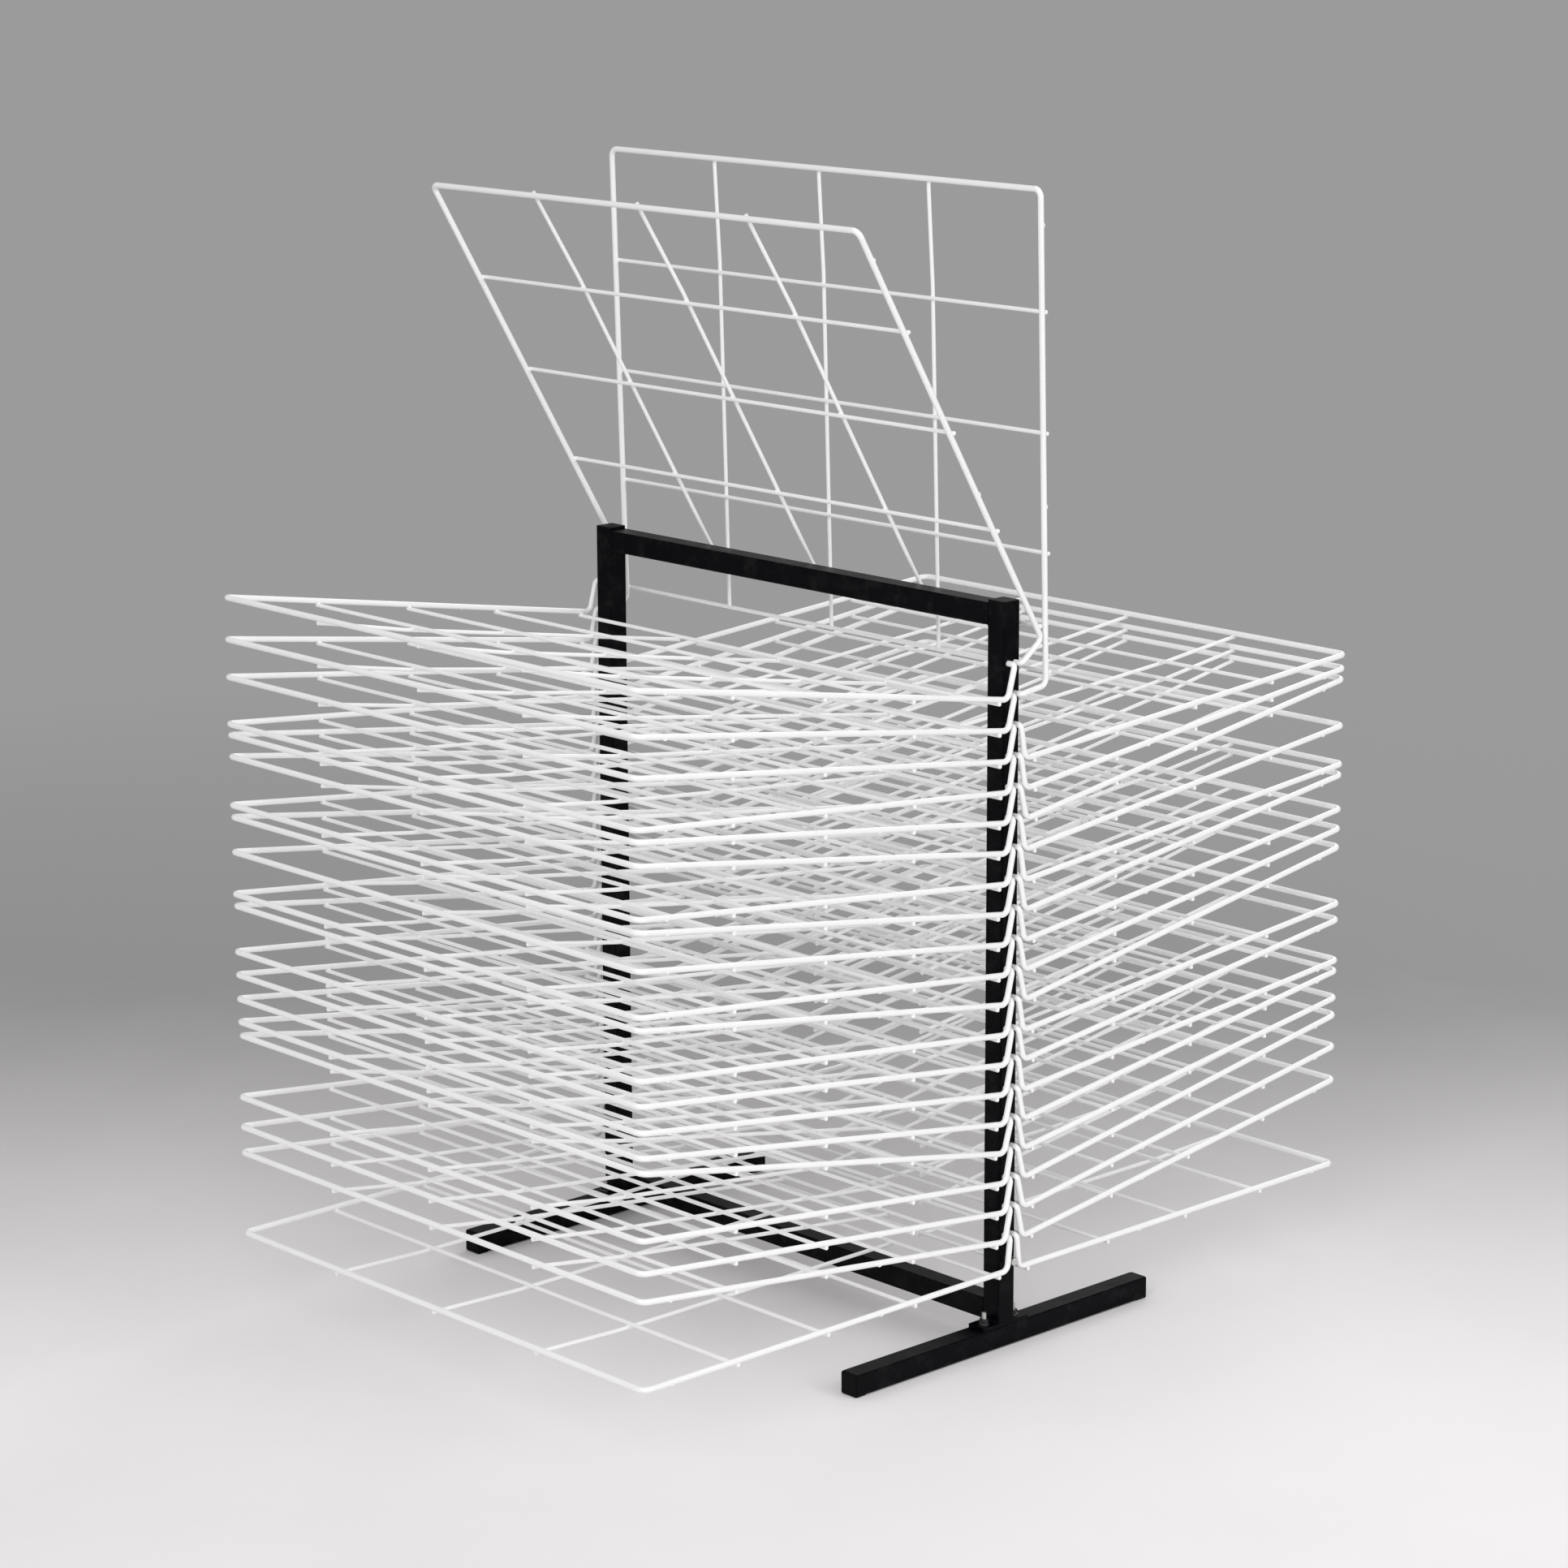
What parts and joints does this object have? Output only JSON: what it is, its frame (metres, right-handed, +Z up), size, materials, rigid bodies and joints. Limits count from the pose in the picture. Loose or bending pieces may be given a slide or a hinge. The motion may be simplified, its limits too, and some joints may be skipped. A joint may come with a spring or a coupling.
{
  "type": "drying rack",
  "caption": "Floor-standing double-sided drying rack: a square-tube frame on two feet carries stacked wire shelves that hinge up on hooks in the posts.",
  "frame": {"origin": "on the ground, midway between the posts and midway along the feet", "axes": "+Z up, X from post to post (the frame's width), Y along the feet: -Y is the front stack of shelves and +Y the back stack"},
  "size_m": [0.712, 1.1219, 1.317],
  "materials": {
    "frame_paint": "semi-gloss black powder coat",
    "shelf_coating": "glossy white dip coat",
    "black_plastic": "fine satin",
    "zinc": "bright zinc plate",
    "dark_steel": "black oxide"
  },
  "bodies": {
    "frame": {"left_post": "frame_paint", "right_post": "frame_paint", "top_bar": "frame_paint", "bottom_bar": "frame_paint", "left_foot_plate": "frame_paint", "right_foot_plate": "frame_paint", "left_foot": "frame_paint", "right_foot": "frame_paint", "foot_end_caps": "black_plastic", "post_caps": "black_plastic", "foot_bolts": "zinc", "foot_washers": "zinc", "foot_nuts": "dark_steel", "frame_welds": "frame_paint", "shelf_stop_studs": "zinc"},
    "front_shelf_01": {"front_shelf_01": "shelf_coating"},
    "front_shelf_02": {"front_shelf_02": "shelf_coating"},
    "front_shelf_03": {"front_shelf_03": "shelf_coating"},
    "front_shelf_04": {"front_shelf_04": "shelf_coating"},
    "front_shelf_05": {"front_shelf_05": "shelf_coating"},
    "front_shelf_06": {"front_shelf_06": "shelf_coating"},
    "front_shelf_07": {"front_shelf_07": "shelf_coating"},
    "front_shelf_08": {"front_shelf_08": "shelf_coating"},
    "front_shelf_09": {"front_shelf_09": "shelf_coating"},
    "front_shelf_10": {"front_shelf_10": "shelf_coating"},
    "front_shelf_11": {"front_shelf_11": "shelf_coating"},
    "front_shelf_12": {"front_shelf_12": "shelf_coating"},
    "front_shelf_13": {"front_shelf_13": "shelf_coating"},
    "front_shelf_14": {"front_shelf_14": "shelf_coating"},
    "front_shelf_15": {"front_shelf_15": "shelf_coating"},
    "front_shelf_16": {"front_shelf_16": "shelf_coating"},
    "front_shelf_17": {"front_shelf_17": "shelf_coating"},
    "front_shelf_18": {"front_shelf_18": "shelf_coating"},
    "front_shelf_19": {"front_shelf_19": "shelf_coating"},
    "front_shelf_20": {"front_shelf_20": "shelf_coating"},
    "back_shelf_01": {"back_shelf_01": "shelf_coating"},
    "back_shelf_02": {"back_shelf_02": "shelf_coating"},
    "back_shelf_03": {"back_shelf_03": "shelf_coating"},
    "back_shelf_04": {"back_shelf_04": "shelf_coating"},
    "back_shelf_05": {"back_shelf_05": "shelf_coating"},
    "back_shelf_06": {"back_shelf_06": "shelf_coating"},
    "back_shelf_07": {"back_shelf_07": "shelf_coating"},
    "back_shelf_08": {"back_shelf_08": "shelf_coating"},
    "back_shelf_09": {"back_shelf_09": "shelf_coating"},
    "back_shelf_10": {"back_shelf_10": "shelf_coating"},
    "back_shelf_11": {"back_shelf_11": "shelf_coating"},
    "back_shelf_12": {"back_shelf_12": "shelf_coating"},
    "back_shelf_13": {"back_shelf_13": "shelf_coating"},
    "back_shelf_14": {"back_shelf_14": "shelf_coating"},
    "back_shelf_15": {"back_shelf_15": "shelf_coating"},
    "back_shelf_16": {"back_shelf_16": "shelf_coating"},
    "back_shelf_17": {"back_shelf_17": "shelf_coating"},
    "back_shelf_18": {"back_shelf_18": "shelf_coating"},
    "back_shelf_19": {"back_shelf_19": "shelf_coating"},
    "back_shelf_20": {"back_shelf_20": "shelf_coating"}
  },
  "joints": [
    {"name": "front_shelf_01_hinge", "type": "hinge", "parent": "frame", "child": "front_shelf_01", "pos_m": [0, -0.0053, 0.7966], "axis": [-1, 0, 0], "range_deg": [0, 53.53]},
    {"name": "front_shelf_02_hinge", "type": "hinge", "parent": "frame", "child": "front_shelf_02", "pos_m": [0, -0.0053, 0.7618], "axis": [-1, 0, 0], "range_deg": [0, 54.91]},
    {"name": "front_shelf_03_hinge", "type": "hinge", "parent": "frame", "child": "front_shelf_03", "pos_m": [0, -0.0053, 0.727], "axis": [-1, 0, 0], "range_deg": [0, 55.78]},
    {"name": "front_shelf_04_hinge", "type": "hinge", "parent": "frame", "child": "front_shelf_04", "pos_m": [0, -0.0053, 0.6922], "axis": [-1, 0, 0], "range_deg": [0, 57.79]},
    {"name": "front_shelf_05_hinge", "type": "hinge", "parent": "frame", "child": "front_shelf_05", "pos_m": [0, -0.0053, 0.6574], "axis": [-1, 0, 0], "range_deg": [0, 55.53]},
    {"name": "front_shelf_06_hinge", "type": "hinge", "parent": "frame", "child": "front_shelf_06", "pos_m": [0, -0.0053, 0.6226], "axis": [-1, 0, 0], "range_deg": [0, 54.53]},
    {"name": "front_shelf_07_hinge", "type": "hinge", "parent": "frame", "child": "front_shelf_07", "pos_m": [0, -0.0053, 0.5878], "axis": [-1, 0, 0], "range_deg": [0, 56.79]},
    {"name": "front_shelf_08_hinge", "type": "hinge", "parent": "frame", "child": "front_shelf_08", "pos_m": [0, -0.0053, 0.553], "axis": [-1, 0, 0], "range_deg": [0, 54.66]},
    {"name": "front_shelf_09_hinge", "type": "hinge", "parent": "frame", "child": "front_shelf_09", "pos_m": [0, -0.0053, 0.5182], "axis": [-1, 0, 0], "range_deg": [0, 55.28]},
    {"name": "front_shelf_10_hinge", "type": "hinge", "parent": "frame", "child": "front_shelf_10", "pos_m": [0, -0.0053, 0.4834], "axis": [-1, 0, 0], "range_deg": [0, 56.79]},
    {"name": "front_shelf_11_hinge", "type": "hinge", "parent": "frame", "child": "front_shelf_11", "pos_m": [0, -0.0053, 0.4486], "axis": [-1, 0, 0], "range_deg": [0, 54.66]},
    {"name": "front_shelf_12_hinge", "type": "hinge", "parent": "frame", "child": "front_shelf_12", "pos_m": [0, -0.0053, 0.4138], "axis": [-1, 0, 0], "range_deg": [0, 56.66]},
    {"name": "front_shelf_13_hinge", "type": "hinge", "parent": "frame", "child": "front_shelf_13", "pos_m": [0, -0.0053, 0.379], "axis": [-1, 0, 0], "range_deg": [0, 55.91]},
    {"name": "front_shelf_14_hinge", "type": "hinge", "parent": "frame", "child": "front_shelf_14", "pos_m": [0, -0.0053, 0.3442], "axis": [-1, 0, 0], "range_deg": [0, 55.28]},
    {"name": "front_shelf_15_hinge", "type": "hinge", "parent": "frame", "child": "front_shelf_15", "pos_m": [0, -0.0053, 0.3094], "axis": [-1, 0, 0], "range_deg": [0, 54.53]},
    {"name": "front_shelf_16_hinge", "type": "hinge", "parent": "frame", "child": "front_shelf_16", "pos_m": [0, -0.0053, 0.2746], "axis": [-1, 0, 0], "range_deg": [0, 52.66]},
    {"name": "front_shelf_17_hinge", "type": "hinge", "parent": "frame", "child": "front_shelf_17", "pos_m": [0, -0.0053, 0.2398], "axis": [-1, 0, 0], "range_deg": [0, 56.66]},
    {"name": "front_shelf_18_hinge", "type": "hinge", "parent": "frame", "child": "front_shelf_18", "pos_m": [0, -0.0053, 0.205], "axis": [-1, 0, 0], "range_deg": [0, 56.79]},
    {"name": "front_shelf_19_hinge", "type": "hinge", "parent": "frame", "child": "front_shelf_19", "pos_m": [0, -0.0053, 0.1702], "axis": [-1, 0, 0], "range_deg": [0, 56.41]},
    {"name": "front_shelf_20_hinge", "type": "hinge", "parent": "frame", "child": "front_shelf_20", "pos_m": [0, -0.0053, 0.1354], "axis": [-1, 0, 0], "range_deg": [0, 8]},
    {"name": "back_shelf_01_hinge", "type": "hinge", "parent": "frame", "child": "back_shelf_01", "pos_m": [0, 0.0053, 0.7966], "axis": [1, 0, 0], "range_deg": [-112.36, 0]},
    {"name": "back_shelf_02_hinge", "type": "hinge", "parent": "frame", "child": "back_shelf_02", "pos_m": [0, 0.0053, 0.7618], "axis": [1, 0, 0], "range_deg": [-84.12, 0]},
    {"name": "back_shelf_03_hinge", "type": "hinge", "parent": "frame", "child": "back_shelf_03", "pos_m": [0, 0.0053, 0.727], "axis": [1, 0, 0], "range_deg": [0, 58.8]},
    {"name": "back_shelf_04_hinge", "type": "hinge", "parent": "frame", "child": "back_shelf_04", "pos_m": [0, 0.0053, 0.6922], "axis": [1, 0, 0], "range_deg": [0, 56.91]},
    {"name": "back_shelf_05_hinge", "type": "hinge", "parent": "frame", "child": "back_shelf_05", "pos_m": [0, 0.0053, 0.6574], "axis": [1, 0, 0], "range_deg": [0, 54.66]},
    {"name": "back_shelf_06_hinge", "type": "hinge", "parent": "frame", "child": "back_shelf_06", "pos_m": [0, 0.0053, 0.6226], "axis": [1, 0, 0], "range_deg": [0, 56.91]},
    {"name": "back_shelf_07_hinge", "type": "hinge", "parent": "frame", "child": "back_shelf_07", "pos_m": [0, 0.0053, 0.5878], "axis": [1, 0, 0], "range_deg": [0, 58.17]},
    {"name": "back_shelf_08_hinge", "type": "hinge", "parent": "frame", "child": "back_shelf_08", "pos_m": [0, 0.0053, 0.553], "axis": [1, 0, 0], "range_deg": [0, 55.91]},
    {"name": "back_shelf_09_hinge", "type": "hinge", "parent": "frame", "child": "back_shelf_09", "pos_m": [0, 0.0053, 0.5182], "axis": [1, 0, 0], "range_deg": [0, 56.66]},
    {"name": "back_shelf_10_hinge", "type": "hinge", "parent": "frame", "child": "back_shelf_10", "pos_m": [0, 0.0053, 0.4834], "axis": [1, 0, 0], "range_deg": [0, 55.53]},
    {"name": "back_shelf_11_hinge", "type": "hinge", "parent": "frame", "child": "back_shelf_11", "pos_m": [0, 0.0053, 0.4486], "axis": [1, 0, 0], "range_deg": [0, 54.28]},
    {"name": "back_shelf_12_hinge", "type": "hinge", "parent": "frame", "child": "back_shelf_12", "pos_m": [0, 0.0053, 0.4138], "axis": [1, 0, 0], "range_deg": [0, 57.92]},
    {"name": "back_shelf_13_hinge", "type": "hinge", "parent": "frame", "child": "back_shelf_13", "pos_m": [0, 0.0053, 0.379], "axis": [1, 0, 0], "range_deg": [0, 56.41]},
    {"name": "back_shelf_14_hinge", "type": "hinge", "parent": "frame", "child": "back_shelf_14", "pos_m": [0, 0.0053, 0.3442], "axis": [1, 0, 0], "range_deg": [0, 58.05]},
    {"name": "back_shelf_15_hinge", "type": "hinge", "parent": "frame", "child": "back_shelf_15", "pos_m": [0, 0.0053, 0.3094], "axis": [1, 0, 0], "range_deg": [0, 55.78]},
    {"name": "back_shelf_16_hinge", "type": "hinge", "parent": "frame", "child": "back_shelf_16", "pos_m": [0, 0.0053, 0.2746], "axis": [1, 0, 0], "range_deg": [0, 55.66]},
    {"name": "back_shelf_17_hinge", "type": "hinge", "parent": "frame", "child": "back_shelf_17", "pos_m": [0, 0.0053, 0.2398], "axis": [1, 0, 0], "range_deg": [0, 54.28]},
    {"name": "back_shelf_18_hinge", "type": "hinge", "parent": "frame", "child": "back_shelf_18", "pos_m": [0, 0.0053, 0.205], "axis": [1, 0, 0], "range_deg": [0, 54.78]},
    {"name": "back_shelf_19_hinge", "type": "hinge", "parent": "frame", "child": "back_shelf_19", "pos_m": [0, 0.0053, 0.1702], "axis": [1, 0, 0], "range_deg": [0, 55.53]},
    {"name": "back_shelf_20_hinge", "type": "hinge", "parent": "frame", "child": "back_shelf_20", "pos_m": [0, 0.0053, 0.1354], "axis": [1, 0, 0], "range_deg": [0, 8]}
  ],
  "couplings": [
    {"joint": "front_shelf_02_hinge", "follows": "front_shelf_01_hinge", "ratio": 1.0257},
    {"joint": "front_shelf_03_hinge", "follows": "front_shelf_01_hinge", "ratio": 1.0421},
    {"joint": "front_shelf_04_hinge", "follows": "front_shelf_01_hinge", "ratio": 1.0796},
    {"joint": "front_shelf_05_hinge", "follows": "front_shelf_01_hinge", "ratio": 1.0374},
    {"joint": "front_shelf_06_hinge", "follows": "front_shelf_01_hinge", "ratio": 1.0187},
    {"joint": "front_shelf_07_hinge", "follows": "front_shelf_01_hinge", "ratio": 1.0608},
    {"joint": "front_shelf_08_hinge", "follows": "front_shelf_01_hinge", "ratio": 1.021},
    {"joint": "front_shelf_09_hinge", "follows": "front_shelf_01_hinge", "ratio": 1.0327},
    {"joint": "front_shelf_10_hinge", "follows": "front_shelf_01_hinge", "ratio": 1.0608},
    {"joint": "front_shelf_11_hinge", "follows": "front_shelf_01_hinge", "ratio": 1.021},
    {"joint": "front_shelf_12_hinge", "follows": "front_shelf_01_hinge", "ratio": 1.0585},
    {"joint": "front_shelf_13_hinge", "follows": "front_shelf_01_hinge", "ratio": 1.0444},
    {"joint": "front_shelf_14_hinge", "follows": "front_shelf_01_hinge", "ratio": 1.0327},
    {"joint": "front_shelf_15_hinge", "follows": "front_shelf_01_hinge", "ratio": 1.0187},
    {"joint": "front_shelf_16_hinge", "follows": "front_shelf_01_hinge", "ratio": 0.98371},
    {"joint": "front_shelf_17_hinge", "follows": "front_shelf_01_hinge", "ratio": 1.0585},
    {"joint": "front_shelf_18_hinge", "follows": "front_shelf_01_hinge", "ratio": 1.0608},
    {"joint": "front_shelf_19_hinge", "follows": "front_shelf_01_hinge", "ratio": 1.0538},
    {"joint": "back_shelf_01_hinge", "follows": "back_shelf_02_hinge", "ratio": 1.3357},
    {"joint": "back_shelf_04_hinge", "follows": "back_shelf_03_hinge", "ratio": 0.96791},
    {"joint": "back_shelf_05_hinge", "follows": "back_shelf_03_hinge", "ratio": 0.92951},
    {"joint": "back_shelf_06_hinge", "follows": "back_shelf_03_hinge", "ratio": 0.96791},
    {"joint": "back_shelf_07_hinge", "follows": "back_shelf_03_hinge", "ratio": 0.9893},
    {"joint": "back_shelf_08_hinge", "follows": "back_shelf_03_hinge", "ratio": 0.95083},
    {"joint": "back_shelf_09_hinge", "follows": "back_shelf_03_hinge", "ratio": 0.96364},
    {"joint": "back_shelf_10_hinge", "follows": "back_shelf_03_hinge", "ratio": 0.94442},
    {"joint": "back_shelf_11_hinge", "follows": "back_shelf_03_hinge", "ratio": 0.92313},
    {"joint": "back_shelf_12_hinge", "follows": "back_shelf_03_hinge", "ratio": 0.98502},
    {"joint": "back_shelf_13_hinge", "follows": "back_shelf_03_hinge", "ratio": 0.95937},
    {"joint": "back_shelf_14_hinge", "follows": "back_shelf_03_hinge", "ratio": 0.98716},
    {"joint": "back_shelf_15_hinge", "follows": "back_shelf_03_hinge", "ratio": 0.94869},
    {"joint": "back_shelf_16_hinge", "follows": "back_shelf_03_hinge", "ratio": 0.94656},
    {"joint": "back_shelf_17_hinge", "follows": "back_shelf_03_hinge", "ratio": 0.92313},
    {"joint": "back_shelf_18_hinge", "follows": "back_shelf_03_hinge", "ratio": 0.93164},
    {"joint": "back_shelf_19_hinge", "follows": "back_shelf_03_hinge", "ratio": 0.94442}
  ]
}
